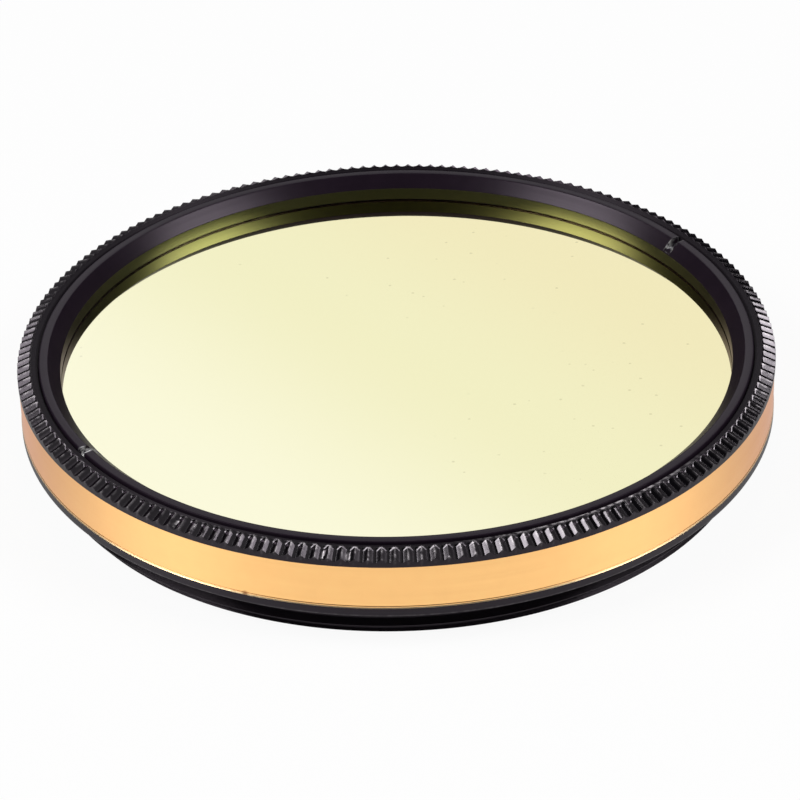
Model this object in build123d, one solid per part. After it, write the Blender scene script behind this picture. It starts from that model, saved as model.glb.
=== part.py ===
from build123d import *
from math import atan, cos, pi, sin, tan
import os

# A two-inch mounted optical filter. The axis is Z, the end face of the male thread lies on Z = 0,
# and the coated face of the glass looks up. All sizes are in millimetres.

# Outside of the cell, from the thread end upwards.
cell_diameter = 50.8
lip_width = 1.4
thread_length = 2.36
thread_end_chamfer = 0.3
relief_width = 0.4
relief_depth = 0.5
lip_height = 0.6
band_height = 3.07
band_recess = 0.04
edge_break = 0.08

# Rim of the cell, above the copper-coloured band.
rim_height = 0.98
bevel_width = 0.85
bevel_drop = 0.38
lead_in_chamfer = 0.3

# Flutes round the rim, cut by a pointed cutter that runs parallel to the bevel.
flute_pitch = 0.831
flute_depth = 0.26
flute_overlap = 0.02
flute_end_inset = 0.05

# Inside of the cell, where one thread size serves both ends.
pocket_step = 0.55
seat_width = 0.85
thread_run_out = 0.3
bore_chamfer = 0.25

# Coated glass disc, and its play in the pocket.
glass_thickness = 2.0
glass_edge_bevel = 0.15
pocket_clearance = 0.05

# Threaded retaining ring, and the play of its thread.
ring_height = 1.78
ring_recess = 0.08
ring_inner_chamfer = 0.8
ring_outer_chamfer = 0.2
ring_thread_clearance = 0.05
notch_width = 0.6
notch_depth = 0.6
notch_angle = 32.0

# Radii and heights that follow from the sizes above.
cell_radius = cell_diameter / 2
thread_radius = cell_radius - lip_width
pocket_radius = thread_radius - pocket_step
glass_radius = pocket_radius - pocket_clearance
aperture_radius = glass_radius - seat_width
ring_radius = thread_radius - ring_thread_clearance

lip_bottom = thread_length
band_bottom = lip_bottom + lip_height
band_top = band_bottom + band_height
rim_top = band_top + rim_height
ring_top = rim_top - ring_recess
glass_top = ring_top - ring_height
seat = glass_top - glass_thickness


def turned(outline):
    """A solid turned about Z from a closed outline of (radius, height) points."""
    return revolve(Plane.XZ * make_face(Polyline(*outline, close=True)), Axis.Z)


def cell_blank():
    """The cell as it leaves the lathe, before its rim is fluted."""
    band_radius = cell_radius - band_recess
    relief_radius = thread_radius - relief_depth
    bevel_inner_radius = cell_radius - bevel_width
    outside = [
        (thread_radius - thread_end_chamfer, 0),
        (thread_radius, thread_end_chamfer),
        (thread_radius, lip_bottom - relief_width),
        (relief_radius, lip_bottom - relief_width),
        (relief_radius, lip_bottom),
        (cell_radius - edge_break, lip_bottom),
        (cell_radius, lip_bottom + edge_break),
        (cell_radius, band_bottom),
        (band_radius, band_bottom + band_recess),
        (band_radius, band_top - band_recess),
        (cell_radius, band_top),
        (cell_radius, rim_top - bevel_drop),
        (bevel_inner_radius, rim_top),
    ]
    inside = [
        (thread_radius + lead_in_chamfer, rim_top),
        (thread_radius, rim_top - lead_in_chamfer),
        (thread_radius, glass_top - thread_run_out),
        (pocket_radius, glass_top - thread_run_out),
        (pocket_radius, seat),
        (aperture_radius, seat),
        (aperture_radius, bore_chamfer),
        (aperture_radius + bore_chamfer, 0),
    ]
    return turned(outside + inside)


def flutes():
    """Cutters for the rim: each a V that runs along the bevel and ends in half an eight-sided point."""
    bevel_angle = atan(bevel_drop / bevel_width)
    end_radius = cell_radius - bevel_width + flute_end_inset
    count = round(pi * cell_diameter / flute_pitch)
    flank_slope = (flute_pitch + flute_overlap) / 2 / flute_depth
    root_on_rim = rim_top - bevel_drop - flute_depth / cos(bevel_angle)
    end_height = root_on_rim + (cell_radius - end_radius) * tan(bevel_angle)

    root_end = Vector(end_radius, 0, end_height)
    root_line = Vector(cos(bevel_angle), 0, -sin(bevel_angle))
    square_to_bevel = Axis(root_end, (sin(bevel_angle), 0, cos(bevel_angle)))

    # The cutter stands clear of the bevel by its own depth, and runs well past the rim.
    height = 2 * flute_depth
    half_top = height * flank_slope
    reach = 2 * bevel_width + half_top
    across = Plane(origin=root_end - root_line * half_top, x_dir=(0, 1, 0), z_dir=root_line)
    along = Plane(origin=root_end, x_dir=root_line, z_dir=(0, -1, 0))
    vee = make_face(Polyline((0, 0), (half_top, height), (-half_top, height), close=True))
    side = make_face(Polyline((0, 0), (reach, 0), (reach, height), (-half_top, height), close=True))
    cutter = extrude(across * vee, reach)
    for turn in (-45, 0, 45):
        cutter = cutter & extrude(along * side, reach, both=True).rotate(square_to_bevel, turn)
    return [Rot(0, 0, 360 * step / count) * cutter for step in range(count)]


def cell():
    return cell_blank() - flutes()


def filter_glass():
    """The glass disc on its seat, with both edges bevelled."""
    blank = Pos(0, 0, seat) * Cylinder(
        glass_radius, glass_thickness, align=(Align.CENTER, Align.CENTER, Align.MIN)
    )
    return chamfer(blank.edges().filter_by(GeomType.CIRCLE), glass_edge_bevel)


def retaining_ring():
    """The ring on the glass: chamfered bore, threaded outside, two opposite spanner notches."""
    blank = turned(
        [
            (aperture_radius, glass_top),
            (ring_radius - ring_outer_chamfer, glass_top),
            (ring_radius, glass_top + ring_outer_chamfer),
            (ring_radius, ring_top - edge_break),
            (ring_radius - edge_break, ring_top),
            (aperture_radius + ring_inner_chamfer, ring_top),
            (aperture_radius, ring_top - ring_inner_chamfer),
        ]
    )
    notches = Pos(0, 0, ring_top - notch_depth) * Box(
        2 * cell_diameter,
        notch_width,
        2 * notch_depth,
        align=(Align.CENTER, Align.CENTER, Align.MIN),
    )
    return blank - Rot(0, 0, notch_angle) * notches


os.makedirs("parts", exist_ok=True)
export_step(cell(), "parts/cell.step")
export_step(filter_glass(), "parts/filter_glass.step")
export_step(retaining_ring(), "parts/retaining_ring.step")
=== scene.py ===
from math import cos, pi, radians, sin

import bpy
import numpy as np
from mathutils import Matrix, Vector


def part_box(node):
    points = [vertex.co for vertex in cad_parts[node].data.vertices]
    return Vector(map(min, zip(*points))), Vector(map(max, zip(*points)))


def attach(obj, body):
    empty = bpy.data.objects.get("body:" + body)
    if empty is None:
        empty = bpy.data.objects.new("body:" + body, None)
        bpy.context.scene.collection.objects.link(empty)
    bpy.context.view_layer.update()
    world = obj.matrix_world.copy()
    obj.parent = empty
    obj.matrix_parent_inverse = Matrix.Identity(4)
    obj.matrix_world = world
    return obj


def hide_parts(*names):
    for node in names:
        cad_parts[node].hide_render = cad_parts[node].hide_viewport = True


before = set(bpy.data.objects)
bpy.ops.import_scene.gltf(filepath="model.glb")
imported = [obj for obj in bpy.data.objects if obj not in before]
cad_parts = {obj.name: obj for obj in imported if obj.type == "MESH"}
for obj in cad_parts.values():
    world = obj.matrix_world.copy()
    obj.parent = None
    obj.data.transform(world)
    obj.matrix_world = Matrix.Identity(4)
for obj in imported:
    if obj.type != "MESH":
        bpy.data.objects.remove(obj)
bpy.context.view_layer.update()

# ---------------------------------------------------------------------------------------------
# Cell: one ring turned from aluminium bar, black anodised, with a copper-coloured band round it.
# The rim is fluted on an indexing head after turning, and the male thread is cut last.
# All its sizes are in millimetres, from the axis and from the end of the thread.
mm = 0.001
cell_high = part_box("cell")[1]
cell_radius = cell_high.x / mm
rim_top = cell_high.z / mm
thread_radius = cell_radius - 1.4
relief_radius = thread_radius - 0.5
pocket_radius = 23.45
aperture_radius = 22.55
foot_bevel = 0.28
relief_bottom = 1.96
lip_bottom = 2.36
band_bottom = 2.96
band_top = 6.03
band_radius = cell_radius - 0.04
groove_height = band_bottom + 0.15
groove_depth = 0.03
seat_height = 3.15
pocket_top = 4.85

# The fluted rim: a bevel, a rounded bead, and a land that falls a little behind it.
bevel_drop = 0.38
bead_radius = cell_radius - 0.88
bevel_slope = bevel_drop / (cell_radius - bead_radius)
behind_bead_slope = 1.2
land_top = rim_top - 0.1
land_outer_radius = bead_radius - 0.07
land_slope = 0.22
lead_in_radius = thread_radius + 0.16
lead_in_top = land_top - 0.065
bead_round = 0.04

# Its flutes: the section is a V with a rounded root, and the inner end is steeper than the walls.
flute_count = 192
flute_depth = 0.26
flute_end_radius = cell_radius - 0.79
flute_end_steepness = 2.1
flute_half_width = pi * cell_radius / flute_count
flute_root_round = 0.16
flute_flank = flute_depth / (np.hypot(flute_half_width, flute_root_round) - flute_root_round)
crest_round = 0.045


def soft_lower(a, b, blend):
    """The lower of two heights, with the corner between them rounded."""
    gap = np.maximum(blend - np.abs(a - b), 0) / blend
    return np.minimum(a, b) - gap * gap * blend / 4


def bevel_height(radius):
    """Height of the bevel, also where it is carried on inwards past the bead."""
    return rim_top - bevel_drop + (cell_radius - radius) * bevel_slope


def rim_blank(radius):
    """Height of the turned rim, before its flutes are cut."""
    behind = rim_top - (bead_radius - radius) * behind_bead_slope
    land = land_top - (land_outer_radius - radius) * land_slope
    bead = soft_lower(bevel_height(radius), np.maximum(behind, land), bead_round)
    lead_in = lead_in_top - (lead_in_radius - radius)
    return np.where(radius < lead_in_radius, np.minimum(bead, lead_in), bead)


def rim_height(radius, turn):
    """Height of the fluted rim at a radius, turn being the place within one flute, -0.5 to 0.5."""
    across = np.abs(turn) * 2 * pi * radius / flute_count
    inside = np.maximum(flute_end_radius - radius, 0) * flute_end_steepness
    wall = np.sqrt(across**2 + inside**2 + flute_root_round**2) - flute_root_round
    root = bevel_height(radius) - flute_depth
    return soft_lower(rim_blank(radius), root + wall * flute_flank, crest_round)


# Columns of the mesh, nine to a flute and closer at its crest, where the edge is fine.
flute_steps = np.array([-0.5, -0.46, -0.34, -0.2, -0.07, 0.07, 0.2, 0.34, 0.46])
within_flute = np.tile(flute_steps, flute_count)
which_flute = np.repeat(np.arange(flute_count), len(flute_steps))
column_angles = 2 * pi * (which_flute + within_flute) / flute_count
all_round = np.ones(len(column_angles))

# Where the finish is worn, and one wall of each flute painted darker and less metallic than the
# other, as painted shade.
crest = np.clip((np.abs(within_flute) - 0.4) / 0.1, 0, 1)
painted_flute_wall_shade = np.interp(within_flute, [-0.5, -0.49, -0.06, 0.06], [1.0, 0.42, 0.42, 1.0])
rubbed_turn, rubbed_width = radians(300), radians(17)
from_rubbed = (column_angles - rubbed_turn + pi) % (2 * pi) - pi
rubbed = np.exp(-((from_rubbed / rubbed_width) ** 4))
nick_width = 0.22
nicks = 0
for nick_turn in (236.2, 239.0, 259.0, 262.5):
    nicks = nicks + np.exp(-(((np.degrees(column_angles) - nick_turn) / nick_width) ** 2))

cell_rows, cell_worn, cell_fluted = [], [], []


def cell_row(radius, height, worn=0.0, fluted=0.0):
    """One row of corners round the cell, with its marks of wear and of the flute cutter."""
    cell_rows.append((radius * all_round, height * all_round))
    cell_worn.append(worn * all_round)
    cell_fluted.append(fluted * all_round)


for radius, height in [
    (thread_radius, pocket_top),
    (pocket_radius, pocket_top),
    (pocket_radius, seat_height),
    (aperture_radius, seat_height),
    (aperture_radius, foot_bevel),
    (aperture_radius + foot_bevel, 0.0),
    (relief_radius, 0.0),
    (relief_radius, lip_bottom),
    (cell_radius - 0.1, lip_bottom),
]:
    cell_row(radius, height)

# The lip's lower edge, where the anodising is rubbed, and the lip up to the band.
cell_row(cell_radius - 0.03, lip_bottom + 0.02, worn=0.15)
cell_row(cell_radius, lip_bottom + 0.09, worn=0.1)
cell_row(cell_radius, lip_bottom + 0.16)
cell_row(cell_radius, band_bottom - 0.05)
cell_row(cell_radius, band_bottom)

# The band, turned a little below the lip, with one fine groove near its foot.
for radius, height in [
    (band_radius - 0.006, band_bottom + 0.058),
    (band_radius - 0.008, band_bottom + 0.07),
    (band_radius, groove_height - groove_depth),
    (band_radius - groove_depth, groove_height - 0.006),
    (band_radius - groove_depth, groove_height + 0.006),
    (band_radius, groove_height + groove_depth),
    (band_radius, band_top - 0.06),
    (band_radius, band_top - 0.03),
    (cell_radius - 0.005, band_top),
    (cell_radius, band_top + 0.02),
    (cell_radius, band_top + 0.05),
]:
    cell_row(radius, height)

# The fluted rim, from the outside wall inwards over the bevel, the bead and the land.
rim_insets = [0.0, 0.012, 0.035, 0.1, 0.25, 0.42, 0.58, 0.68, 0.74, 0.79, 0.84, 0.88, 0.92, 0.96,
              1.0, 1.05, 1.1, 1.2, 1.24, 1.26, 1.32, 1.38, 1.4]
cell_row(cell_radius, rim_height(cell_radius, within_flute) - 0.05, worn=0.2 * crest)
for inset in rim_insets:
    radius = cell_radius - inset
    height = rim_height(radius, within_flute)
    if inset == 0:
        height = height - 0.018
    on_bead = np.exp(-(((radius - bead_radius) / 0.05) ** 2)) * (np.abs(within_flute) > 0.2)
    on_land = np.exp(-(((radius - thread_radius - 0.27) / 0.12) ** 2)) * rubbed
    on_nick = nicks * (0.2 < inset < 0.6)
    on_crest = crest * (radius > bead_radius)
    cut_depth = rim_blank(radius) - height
    cell_row(
        radius,
        height,
        worn=0.8 * on_crest + 0.2 * on_bead + 1.6 * on_land + 3.0 * on_nick,
        fluted=np.clip(cut_depth / 0.04, 0, 1) * (inset > 0) * painted_flute_wall_shade,
    )
cell_row(thread_radius, rim_top - 0.4)


def turned_strip(rows, angles, closed_section=True, closed_turn=True):
    """Corners and faces of rows of (radii, heights) turned through the angles."""
    wide = len(angles)
    points = np.array(
        [[r * np.cos(angles), r * np.sin(angles), z * np.ones(wide)] for r, z in rows]
    )
    points = points.transpose(0, 2, 1).reshape(-1, 3) * mm
    used_rows = np.arange(len(rows) if closed_section else len(rows) - 1)
    used_columns = np.arange(wide if closed_turn else wide - 1)
    row, column = np.meshgrid(used_rows, used_columns, indexing="ij")
    after, beside = (row + 1) % len(rows), (column + 1) % wide
    here, next_row = row * wide, after * wide
    corners = [here + column, here + beside, next_row + beside, next_row + column]
    return points, np.stack(corners, axis=-1).reshape(-1, 4)


def mesh_piece(name, points, faces, sharp_angle, **marks):
    """A piece with smooth faces, creases above an angle, and named marks for its material."""
    mesh = bpy.data.meshes.new(name)
    mesh.from_pydata(points.tolist(), [], faces)
    mesh.validate()
    for mark, values in marks.items():
        attribute = mesh.attributes.new(mark, "FLOAT", "POINT")
        attribute.data.foreach_set("value", np.concatenate(values).astype(np.float32))
    mesh.shade_smooth()
    mesh.set_sharp_from_angle(angle=radians(sharp_angle))
    piece = bpy.data.objects.new(name, mesh)
    bpy.context.scene.collection.objects.link(piece)
    return piece


# The male thread is a strip that climbs round the cell, one pitch for each turn. Its form gives the
# depth of the cut along one pitch, and its foot is bevelled at 45 degrees.
thread_pitch = 0.75
thread_form_along = [0.0, 0.02, 0.105, 0.125, 0.46, 0.5, 0.6, 0.64, 1.0]
thread_form_cut = [0.0, -0.015, -0.015, 0.0, -0.43, -0.46, -0.46, -0.43, 0.0]
thread_foot_bevel = 0.3
strip_turns = int(np.ceil(relief_bottom / thread_pitch)) + 2
strip_columns = 288
strip_angles = 2 * pi * np.arange(strip_columns + 1) / strip_columns
climb = strip_angles / (2 * pi)
thread_rows = [((relief_radius - 0.1) * np.ones(strip_columns + 1), 0.0)]
for turn in range(strip_turns):
    for along in thread_form_along[:-1]:
        height = np.clip((turn + along - 1 + climb) * thread_pitch, 0, relief_bottom)
        cut = np.interp((height / thread_pitch - climb) % 1, thread_form_along, thread_form_cut)
        foot = thread_radius - thread_foot_bevel + height
        thread_rows.append((np.minimum(thread_radius + cut, foot), height))
thread_rows.append(((relief_radius - 0.1) * np.ones(strip_columns + 1), relief_bottom))

cell_points, cell_faces = turned_strip(cell_rows, column_angles)
thread_points, thread_faces = turned_strip(
    thread_rows, strip_angles, closed_section=False, closed_turn=False
)
unmarked = [np.zeros(len(thread_points))]
cell = mesh_piece(
    "cell_body",
    np.concatenate([cell_points, thread_points]),
    np.concatenate([cell_faces, thread_faces + len(cell_points)]).tolist(),
    38,
    worn=cell_worn + unmarked,
    fluted=cell_fluted + unmarked,
)
weld = cell.modifiers.new("weld", "WELD")
weld.merge_threshold = 0.0008 * mm


class Finish:
    """The nodes of one material, group or world, with short ways to add the kinds used here."""

    def __init__(self, tree):
        self.nodes = tree.nodes
        self.links = tree.links

    def add(self, kind, **settings):
        made = self.nodes.new("ShaderNode" + kind)
        for name, value in settings.items():
            setattr(made, name, value)
        return made

    def feed(self, value, socket):
        """Link a socket to another one, or give it a plain number, colour or vector."""
        if isinstance(value, bpy.types.NodeSocket):
            self.links.new(value, socket)
        elif socket.type == "RGBA":
            socket.default_value = (*value, 1)
        else:
            socket.default_value = value

    def maths(self, operation, first, second=0.0, clamp=False):
        made = self.add("Math", operation=operation, use_clamp=clamp)
        self.feed(first, made.inputs[0])
        self.feed(second, made.inputs[1])
        return made.outputs[0]

    def change(self, value, start, end, low=0.0, high=1.0, smooth=False):
        """From low to high while the value goes from start to end, and level outside them."""
        made = self.add("MapRange", interpolation_type="SMOOTHSTEP" if smooth else "LINEAR")
        limits = {"From Min": start, "From Max": end, "To Min": low, "To Max": high}
        for name, limit in limits.items():
            made.inputs[name].default_value = limit
        self.feed(value, made.inputs["Value"])
        return made.outputs[0]

    def between(self, value, start, end, soft):
        """1 between two values, falling to 0 over a short way outside them."""
        rising = self.change(value, start - soft, start)
        falling = self.change(value, end + soft, end)
        return self.maths("MULTIPLY", rising, falling)

    def mix(self, share, first, second):
        made = self.add("Mix")
        for value, socket in ((share, 0), (first, 2), (second, 3)):
            self.feed(value, made.inputs[socket])
        return made.outputs[0]

    def mix_colours(self, share, first, second):
        made = self.add("Mix", data_type="RGBA")
        for value, socket in ((share, 0), (first, 6), (second, 7)):
            self.feed(value, made.inputs[socket])
        return made.outputs[2]

    def mark(self, name):
        return self.add("Attribute", attribute_name=name).outputs["Fac"]

    def place(self):
        return self.add("TexCoord").outputs["Object"]

    def split(self, vector):
        made = self.add("SeparateXYZ")
        self.links.new(vector, made.inputs[0])
        return made.outputs

    def off_axis(self, x, y):
        """Distance from the Z axis."""
        squares = [self.maths("MULTIPLY", k, k) for k in (x, y)]
        return self.maths("SQRT", self.maths("ADD", *squares))

    def noise(self, vector, scale, detail=2.0):
        made = self.add("TexNoise")
        made.inputs["Scale"].default_value = scale
        made.inputs["Detail"].default_value = detail
        self.links.new(vector, made.inputs["Vector"])
        return made.outputs[0]


def new_material(name):
    """A material with its ways to add nodes, and its shader."""
    material = bpy.data.materials.new(name)
    material.use_nodes = True
    return material, Finish(material.node_tree), material.node_tree.nodes["Principled BSDF"]


# Anodised, turned aluminium: fine tool lines round the axis, a slight mottle, and worn edges.
turned_anodised = bpy.data.node_groups.new("turned_anodised", "ShaderNodeTree")
for name, kind, value in (
    ("Coat Colour", "NodeSocketColor", (0.02, 0.02, 0.02, 1)),
    ("Bare Colour", "NodeSocketColor", (0.6, 0.6, 0.6, 1)),
    ("Wear", "NodeSocketFloat", 0.5),
    ("Gloss", "NodeSocketFloat", 0.4),
    ("Mottle", "NodeSocketFloat", 0.15),
):
    socket = turned_anodised.interface.new_socket(name=name, in_out="INPUT", socket_type=kind)
    socket.default_value = value
for name, kind in (
    ("Colour", "NodeSocketColor"),
    ("Bare", "NodeSocketFloat"),
    ("Roughness", "NodeSocketFloat"),
    ("Height", "NodeSocketFloat"),
):
    turned_anodised.interface.new_socket(name=name, in_out="OUTPUT", socket_type=kind)

tool_line_scale = 9000.0
finish = Finish(turned_anodised)
given = finish.nodes.new("NodeGroupInput").outputs
result = finish.nodes.new("NodeGroupOutput").inputs
place = finish.place()
x, y, z = finish.split(place)
along_line = finish.add("CombineXYZ")
for value, scale, socket in (
    (finish.off_axis(x, y), tool_line_scale, 0),
    (z, tool_line_scale, 1),
    (finish.maths("ARCTAN2", y, x), 1.2, 2),
):
    finish.feed(finish.maths("MULTIPLY", value, scale), along_line.inputs[socket])
tool_lines = finish.noise(along_line.outputs[0], 1.0)
uneven = finish.maths("SUBTRACT", finish.noise(place, 900.0, 4.0), 0.5)
flaked = finish.change(finish.noise(place, 2600.0, 5.0), 0.42, 0.62)
flaked = finish.maths("MULTIPLY", finish.mark("worn"), flaked)
bare = finish.maths("MULTIPLY", flaked, given["Wear"], clamp=True)
coat = finish.add("VectorMath", operation="SCALE")
finish.feed(given["Coat Colour"], coat.inputs[0])
shade = finish.maths("ADD", finish.maths("MULTIPLY", uneven, given["Mottle"]), 1.0)
finish.feed(shade, coat.inputs["Scale"])
finish.feed(finish.mix_colours(bare, coat.outputs[0], given["Bare Colour"]), result["Colour"])
finish.feed(bare, result["Bare"])
rougher = finish.change(tool_lines, 0.0, 1.0, -0.06, 0.06)
finish.feed(finish.maths("ADD", given["Gloss"], rougher, clamp=True), result["Roughness"])
finish.feed(tool_lines, result["Height"])


def anodised(finish, coat_colour, bare_colour, wear, gloss, mottle):
    """The outputs of the anodised surface, with one piece's own values."""
    made = finish.add("Group", node_tree=turned_anodised)
    for name, value in (
        ("Coat Colour", coat_colour),
        ("Bare Colour", bare_colour),
        ("Wear", wear),
        ("Gloss", gloss),
        ("Mottle", mottle),
    ):
        finish.feed(value, made.inputs[name])
    return made.outputs


def turned_shine(finish, shader, height, drawn_out):
    """A shallow relief of tool lines, and a highlight that is drawn out across them."""
    relief = finish.add("Bump")
    relief.inputs["Strength"].default_value = 0.12
    relief.inputs["Distance"].default_value = 0.02 * mm
    finish.feed(height, relief.inputs["Height"])
    finish.feed(relief.outputs[0], shader.inputs["Normal"])
    round_axis = finish.add("Tangent", direction_type="RADIAL", axis="Z")
    finish.feed(round_axis.outputs[0], shader.inputs["Tangent"])
    shader.inputs["Anisotropic"].default_value = drawn_out
    shader.inputs["Anisotropic Rotation"].default_value = 0.25
    shader.inputs["Specular IOR Level"].default_value = 0.25
    shader.inputs["Specular Tint"].default_value = (1.0, 0.86, 1.0, 1)


cell_metal, finish, shader = new_material("black_and_copper_anodising")
place = finish.place()
x, y, height = finish.split(place)
far = finish.off_axis(x, y)
black = anodised(finish, (0.009, 0.007, 0.0095), (0.62, 0.58, 0.6), 0.6, 0.33, 0.5)
copper = anodised(finish, (1.0, 0.585, 0.228), (0.9, 0.8, 0.7), 0.0, 0.33, 0.08)

# Black parts: the coat, and the brighter metal where the flute cutter went through it, with painted
# shade on one wall of each flute.
fluted = finish.mark("fluted")
fluted_colour = finish.mix_colours(black["Bare"], (0.085, 0.078, 0.085), (0.6, 0.56, 0.58))
black_colour = finish.mix_colours(fluted, black["Colour"], fluted_colour)
black_metallic = finish.maths("MAXIMUM", black["Bare"], fluted)

# The band: copper-coloured, with a painted highlight along its foot, painted shade in its groove,
# and one small blemish.
outside = finish.maths("GREATER_THAN", far, (cell_radius - 0.5) * mm)
on_band = finish.between(height, (band_bottom + 0.002) * mm, (band_top - 0.015) * mm, 0.01 * mm)
on_band = finish.maths("MULTIPLY", on_band, outside)
# Painted highlight: a pale cream strip along the foot of the band.
painted_foot_highlight = finish.between(height, (band_bottom - 0.05) * mm, (band_bottom + 0.06) * mm, 0.01 * mm)
# Painted shade: the fine groove is painted dark brown.
painted_groove_shade = finish.between(
    height, (groove_height - 0.02) * mm, (groove_height + 0.02) * mm, 0.012 * mm
)
blemish_turn = radians(-112.6)
from_blemish = finish.add("VectorMath", operation="DISTANCE")
finish.feed(place, from_blemish.inputs[0])
from_blemish.inputs[1].default_value = (
    band_radius * cos(blemish_turn) * mm,
    band_radius * sin(blemish_turn) * mm,
    (band_bottom + 0.06) * mm,
)
blemish = finish.change(from_blemish.outputs["Value"], 0.28 * mm, 0.08 * mm, high=0.75)
# Pale cream at the foot is a painted highlight and dark brown in the groove is painted shade; the
# blemish is a real mark.
band_colour = finish.mix_colours(painted_foot_highlight, copper["Colour"], (1.0, 0.76, 0.44))
band_colour = finish.mix_colours(painted_groove_shade, band_colour, (0.33, 0.14, 0.06))
band_colour = finish.mix_colours(blemish, band_colour, (0.25, 0.09, 0.03))

# The flutes shine and the land is dull; the rest has the finish of its coat.
above_band = finish.maths("GREATER_THAN", height, band_top * mm)
on_land = finish.between(far, (thread_radius - 0.1) * mm, (bead_radius - 0.04) * mm, 0.02 * mm)
on_land = finish.maths("MULTIPLY", on_land, above_band)
roughness = finish.mix(on_band, black["Roughness"], copper["Roughness"])
roughness = finish.mix(finish.maths("MULTIPLY", fluted, 3.0, clamp=True), roughness, 0.17)
roughness = finish.mix(finish.maths("MAXIMUM", on_land, black["Bare"]), roughness, 0.55)

finish.feed(finish.mix_colours(on_band, black_colour, band_colour), shader.inputs["Base Color"])
finish.feed(finish.mix(on_band, black_metallic, 1.0), shader.inputs["Metallic"])
finish.feed(roughness, shader.inputs["Roughness"])
turned_shine(finish, shader, black["Height"], 0.93)
cell.data.materials.append(cell_metal)
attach(cell, "root")
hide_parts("cell")

# ---------------------------------------------------------------------------------------------
# Glass: a disc of ground and polished glass whose upper face carries the filter's coating.
# It lies on the seat inside the cell, held down by the retaining ring.
glass_low, glass_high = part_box("filter_glass")
glass_radius = glass_high.x / mm
glass_top = glass_high.z / mm
glass_bottom = glass_low.z / mm
disc_bevel = 0.15

# Half of the section, from the middle of a face to the side wall: radius, and depth below the face.
disc_face = [
    (0.4, 0.0),
    (6.0, 0.0),
    (14.0, 0.0),
    (glass_radius - 0.6, 0.0),
    (glass_radius - disc_bevel, 0.0),
    (glass_radius - disc_bevel + 0.02, 0.005),
    (glass_radius - 0.005, disc_bevel - 0.02),
    (glass_radius, disc_bevel),
]
disc_rows = [(radius, glass_bottom + depth) for radius, depth in disc_face]
disc_rows += [(radius, glass_top - depth) for radius, depth in reversed(disc_face)]
disc_columns = 256
disc_angles = 2 * pi * np.arange(disc_columns) / disc_columns
disc_points, disc_faces = turned_strip(disc_rows, disc_angles, closed_section=False)
lower_middle = list(range(disc_columns))[::-1]
upper_middle = list(range(len(disc_points) - disc_columns, len(disc_points)))
disc_faces = disc_faces.tolist() + [lower_middle, upper_middle]
glass = mesh_piece("glass_disc", disc_points, disc_faces, 20)

coated, finish, shader = new_material("coated_glass")
place = finish.place()

# Lighter and yellower to one side and darker to the other: a painted reflection of how the
# coating's colour shifts with the angle of view.
across_glass = finish.add("VectorMath", operation="DOT_PRODUCT")
finish.feed(place, across_glass.inputs[0])
across_glass.inputs[1].default_value = (-36.0, -30.0, 0)
to_one_side = across_glass.outputs["Value"]
painted_deeper_reflection = finish.change(to_one_side, -0.05, -0.9, smooth=True)
painted_paler_reflection = finish.change(to_one_side, -0.1, 0.95, smooth=True)
coat_tint_with_painted_reflection = finish.mix_colours(painted_deeper_reflection, (0.888, 0.863, 0.545), (0.88, 0.81, 0.49))
coat_tint_with_painted_reflection = finish.mix_colours(painted_paler_reflection, coat_tint_with_painted_reflection, (0.97, 0.955, 0.71))

# A few specks of dust, in patches and mostly on the other side.
dust = finish.add("TexVoronoi")
dust.inputs["Scale"].default_value = 750.0
finish.feed(place, dust.inputs["Vector"])
speck = finish.change(dust.outputs["Distance"], 0.1, 0.05)
drift = finish.maths("ADD", finish.noise(place, 90.0), finish.maths("MULTIPLY", to_one_side, -0.12))
dusty = finish.change(drift, 0.5, 0.62)
dirt = finish.maths("MULTIPLY", finish.maths("MULTIPLY", speck, dusty), 0.32)
finish.feed(finish.mix_colours(dirt, coat_tint_with_painted_reflection, (0.4, 0.37, 0.22)), shader.inputs["Base Color"])
shader.inputs["Metallic"].default_value = 1.0
shader.inputs["Roughness"].default_value = 0.03
glass.data.materials.append(coated)
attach(glass, "root")
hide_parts("filter_glass")

# ---------------------------------------------------------------------------------------------
# Retaining ring: turned aluminium, black anodised, threaded outside, screwed down on the glass.
# Two slots milled across it take the pins of a ring spanner, and their edges are rubbed bare.
ring_low, ring_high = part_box("retaining_ring")
ring_radius = ring_high.x / mm
ring_top = ring_high.z / mm
ring_bottom = ring_low.z / mm
ring_chamfer = 0.8
ring_foot_bevel = 0.12
chamfer_radius = aperture_radius + ring_chamfer
chamfer_foot = ring_top - ring_chamfer
notch_turn = radians(32)
notch_half_width = 0.3
notch_floor = ring_top - 0.6
notch_radius = ring_radius - 0.7

# Columns of the mesh: even ones, and closer ones across the two notches.
notch_steps = np.array([-0.42, -0.36, -0.33, -0.305, -0.295, 0.295, 0.305, 0.33, 0.36, 0.42])
ring_angles = 2 * pi * np.arange(480) / 480
for middle in (notch_turn, notch_turn + pi):
    from_middle = np.abs((ring_angles - middle + pi) % (2 * pi) - pi)
    ring_angles = ring_angles[from_middle > 0.5 / ring_radius]
    ring_angles = np.append(ring_angles, middle + notch_steps / notch_radius)
ring_angles = np.sort(ring_angles % (2 * pi))
from_one = np.abs((ring_angles - notch_turn + pi) % (2 * pi) - pi)
from_other = np.abs((ring_angles - notch_turn) % (2 * pi) - pi)
from_notch = np.minimum(from_one, from_other) * notch_radius
in_notch = from_notch < notch_half_width
at_left_notch = np.cos(ring_angles - notch_turn) < 0
beside_notch = np.exp(-(((from_notch - 0.32) / 0.04) ** 2))

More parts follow.
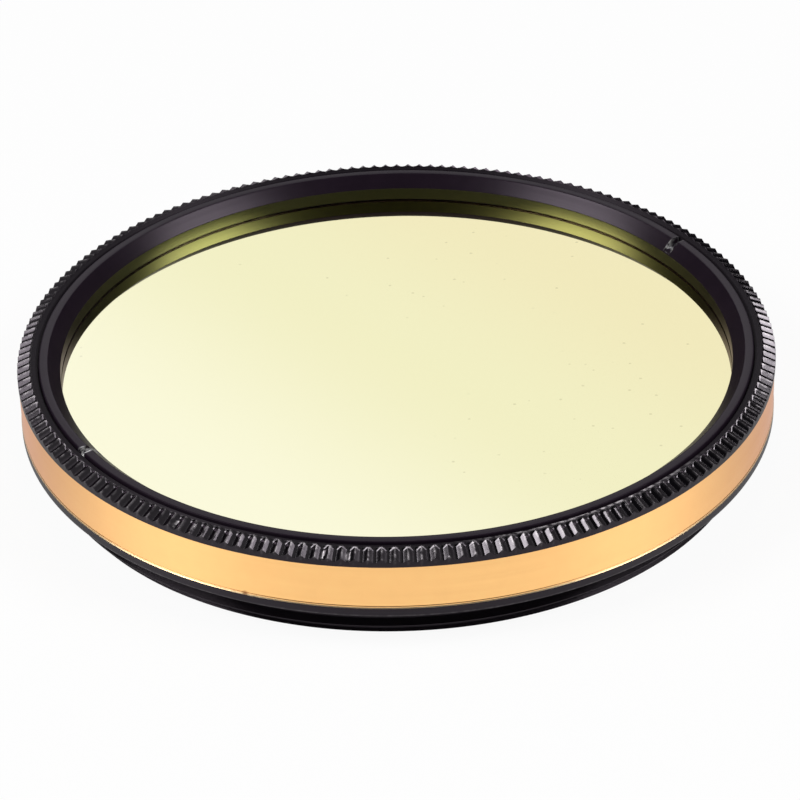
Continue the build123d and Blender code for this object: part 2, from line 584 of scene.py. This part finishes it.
ring_section = [
    (aperture_radius, ring_bottom + ring_foot_bevel),
    (aperture_radius + 0.002, ring_bottom + ring_foot_bevel - 0.002),
    (aperture_radius + ring_foot_bevel, ring_bottom),
    (ring_radius - 0.2, ring_bottom),
    (ring_radius, ring_bottom + 0.2),
    (ring_radius, ring_top - 0.08),
    (ring_radius - 0.02, ring_top - 0.03),
    (ring_radius - 0.07, ring_top - 0.005),
    (ring_radius - 0.12, ring_top),
    (ring_radius - 0.35, ring_top),
    (chamfer_radius + 0.03, ring_top),
    (chamfer_radius - 0.005, ring_top - 0.012),
    (chamfer_radius - 0.04, ring_top - 0.045),
    (aperture_radius + 0.4, ring_top - 0.4),
    (aperture_radius + 0.03, chamfer_foot + 0.03),
    (aperture_radius + 0.008, chamfer_foot),
    (aperture_radius, chamfer_foot - 0.03),
]
ring_rows, ring_worn, bore_rows_painted_reflection = [], [], []
for radius, height in ring_section:
    on_chamfer = aperture_radius < radius < aperture_radius + 0.5
    rubbed = np.where(at_left_notch, 1.0, 1.0 if on_chamfer else 0.1) * (height > notch_floor)
    lowered = np.where(in_notch, min(height, notch_floor), height)
    ring_rows.append((radius, lowered))
    ring_worn.append(np.clip(1.6 * beside_notch * rubbed, 0, 1))
    bore_rows_painted_reflection.append(np.full(len(ring_angles), float(radius == aperture_radius)))
ring_points, ring_faces = turned_strip(ring_rows, ring_angles)
ring = mesh_piece(
    "ring_on_glass", ring_points, ring_faces.tolist(), 30, worn=ring_worn, bore=bore_rows_painted_reflection
)

# The bore's wall is left smooth, and its yellow-green colour is a painted reflection of the coated
# glass beside it.
ring_metal, finish, shader = new_material("ring_anodising")
black = anodised(finish, (0.011, 0.0065, 0.012), (0.9, 0.9, 0.9), 1.0, 0.33, 0.5)
painted_glass_reflection_in_bore = finish.mark("bore")
# Painted reflection: the bore's wall takes the yellow-green of the glass instead of the black coat.
ring_colour = finish.mix_colours(painted_glass_reflection_in_bore, black["Colour"], (0.12, 0.125, 0.058))
finish.feed(ring_colour, shader.inputs["Base Color"])
finish.feed(finish.maths("MAXIMUM", black["Bare"], painted_glass_reflection_in_bore), shader.inputs["Metallic"])
finish.feed(finish.mix(painted_glass_reflection_in_bore, black["Roughness"], 0.36), shader.inputs["Roughness"])
turned_shine(finish, shader, black["Height"], 0.5)
ring.data.materials.append(ring_metal)
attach(ring, "root")
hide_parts("retaining_ring")

# ---------------------------------------------------------------------------------------------
# Stage: a white table, two large softboxes left and right, and a bright wall behind.
# Metal and glass see the table as a white sheet, brighter in front of the filter than behind it.
table_half = 3
table_corners = [(-table_half, -table_half, 0), (table_half, -table_half, 0),
                 (table_half, table_half, 0), (-table_half, table_half, 0)]
table_mesh = bpy.data.meshes.new("table")
table_mesh.from_pydata(table_corners, [], [(0, 1, 2, 3)])
table = bpy.data.objects.new("table", table_mesh)
bpy.context.scene.collection.objects.link(table)
table_top, finish, shader = new_material("white_table")
shader.inputs["Base Color"].default_value = (0.9, 0.9, 0.9, 1)
shader.inputs["Roughness"].default_value = 0.9
shader.inputs["Specular IOR Level"].default_value = 0.0
seen = finish.add("LightPath").outputs
in_front = finish.change(finish.split(finish.place())[1], -0.002, -0.024, -0.2, 0.21, smooth=True)
mirrored = finish.maths("MULTIPLY", seen["Is Glossy Ray"], in_front)
white_sheet = finish.add("Emission")
white_sheet.inputs["Color"].default_value = (1, 1, 1, 1)
finish.feed(finish.maths("ADD", mirrored, 1.0), white_sheet.inputs["Strength"])
share = finish.maths("MULTIPLY", seen["Is Camera Ray"], 0.93)
share = finish.maths("ADD", share, seen["Is Glossy Ray"])
sheet_or_table = finish.add("MixShader")
finish.feed(share, sheet_or_table.inputs[0])
finish.feed(shader.outputs[0], sheet_or_table.inputs[1])
finish.feed(white_sheet.outputs[0], sheet_or_table.inputs[2])
finish.feed(sheet_or_table.outputs[0], finish.nodes["Material Output"].inputs["Surface"])
table.data.materials.append(table_top)


def softbox(name, azimuth, elevation, width, height, power, distance=0.6):
    """A rectangular lamp that looks at the filter from a direction given in degrees."""
    lamp_data = bpy.data.lights.new(name, "AREA")
    lamp_data.shape = "RECTANGLE"
    lamp_data.size = width
    lamp_data.size_y = height
    lamp_data.energy = power
    lamp = bpy.data.objects.new(name, lamp_data)
    across, raised = radians(azimuth), radians(elevation)
    away = Vector((cos(across) * cos(raised), sin(across) * cos(raised), sin(raised)))
    lamp.location = away * distance
    lamp.rotation_mode = "QUATERNION"
    lamp.rotation_quaternion = away.to_track_quat("Z", "Y")
    bpy.context.scene.collection.objects.link(lamp)


softbox("softbox_right", -13, 43, 0.3, 0.26, 2.1)
softbox("softbox_left", 193, 43, 0.32, 0.32, 2.6)

# The room is dark but for the wall, and the camera sees it white.
studio = bpy.data.worlds.new("studio")
bpy.context.scene.world = studio
studio.use_nodes = True
finish = Finish(studio.node_tree)
background = finish.nodes["Background"]
x, y, raised = finish.split(finish.add("TexCoord").outputs["Generated"])
behind = finish.change(finish.maths("DIVIDE", y, finish.off_axis(x, y)), 0.93, 0.965, smooth=True)
below_ceiling = finish.change(raised, 0.85, 0.6, smooth=True)
above_table = finish.change(raised, 0.28, 0.38, smooth=True)
on_wall = finish.maths("MULTIPLY", finish.maths("MULTIPLY", behind, below_ceiling), above_table)
room = finish.mix_colours(on_wall, (0.035, 0.033, 0.04), (1.0, 1.0, 1.0))
seen = finish.add("LightPath").outputs
seen_white = finish.mix_colours(seen["Is Camera Ray"], room, (1.0, 1.0, 1.0))
finish.feed(seen_white, background.inputs["Color"])
background.inputs["Strength"].default_value = 1.0
bpy.context.scene.view_settings.view_transform = "Standard"

# ---------------------------------------------------------------------------------------------
# Camera: a long lens from the front, looking down on the filter as the photograph does.
# Its place is in millimetres and its angles are in degrees.
camera_place = Vector((0, -191.97, 123.12))
camera_pitch = radians(32.231)
camera_yaw = radians(0.051)
camera_roll = radians(-1.535)
camera_data = bpy.data.cameras.new("camera")
camera_data.sensor_width = 36.0
camera_data.lens = 150.3
camera_data.clip_start = 0.01
camera = bpy.data.objects.new("camera", camera_data)
bpy.context.scene.collection.objects.link(camera)
bpy.context.scene.camera = camera
ahead = Vector((sin(camera_yaw), cos(camera_yaw), 0)) * cos(camera_pitch)
ahead.z = -sin(camera_pitch)
right = Vector((cos(camera_yaw), -sin(camera_yaw), 0))
up = right.cross(ahead)
right, up = (
    cos(camera_roll) * right + sin(camera_roll) * up,
    cos(camera_roll) * up - sin(camera_roll) * right,
)
turn = Matrix((right, up, -ahead)).transposed()
camera.matrix_world = Matrix.Translation(camera_place * mm) @ turn.to_4x4()
